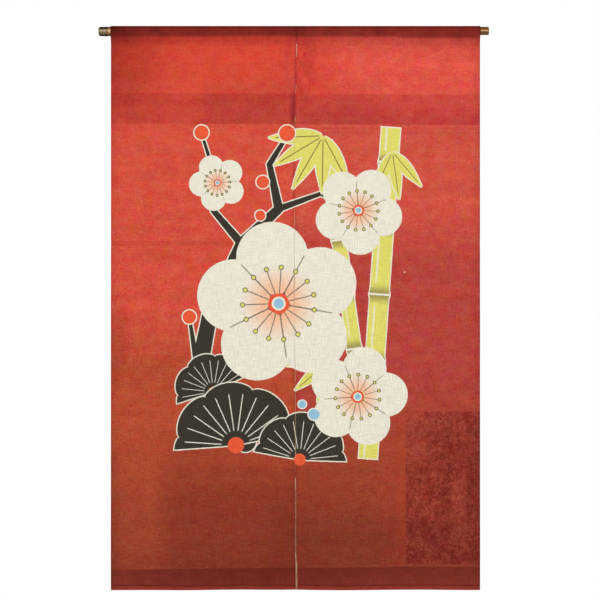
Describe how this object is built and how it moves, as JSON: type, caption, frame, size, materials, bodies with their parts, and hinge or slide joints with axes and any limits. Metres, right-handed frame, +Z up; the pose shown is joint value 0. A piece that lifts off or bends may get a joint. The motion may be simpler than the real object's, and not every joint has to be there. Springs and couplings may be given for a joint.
{
  "type": "noren curtain with bamboo rod",
  "caption": "Split doorway curtain of dyed cloth, hung flat by a sewn pole pocket on a bamboo rod, its widths joined at the top and open below.",
  "frame": {"origin": "the rod's axis at the middle of the cloth's width", "axes": "+X along the rod to the viewer's right, +Y from the front of the cloth to its back, +Z up"},
  "size_m": [0.93, 0.0266, 1.3451],
  "materials": {
    "cloth": "hand-dyed red plain weave, darker towards the hem, matt",
    "bamboo": "smoked bamboo, mottled brown, low sheen"
  },
  "bodies": {
    "root": {"panel_left": "cloth", "panel_right": "cloth", "rod": "bamboo"}
  },
  "joints": []
}
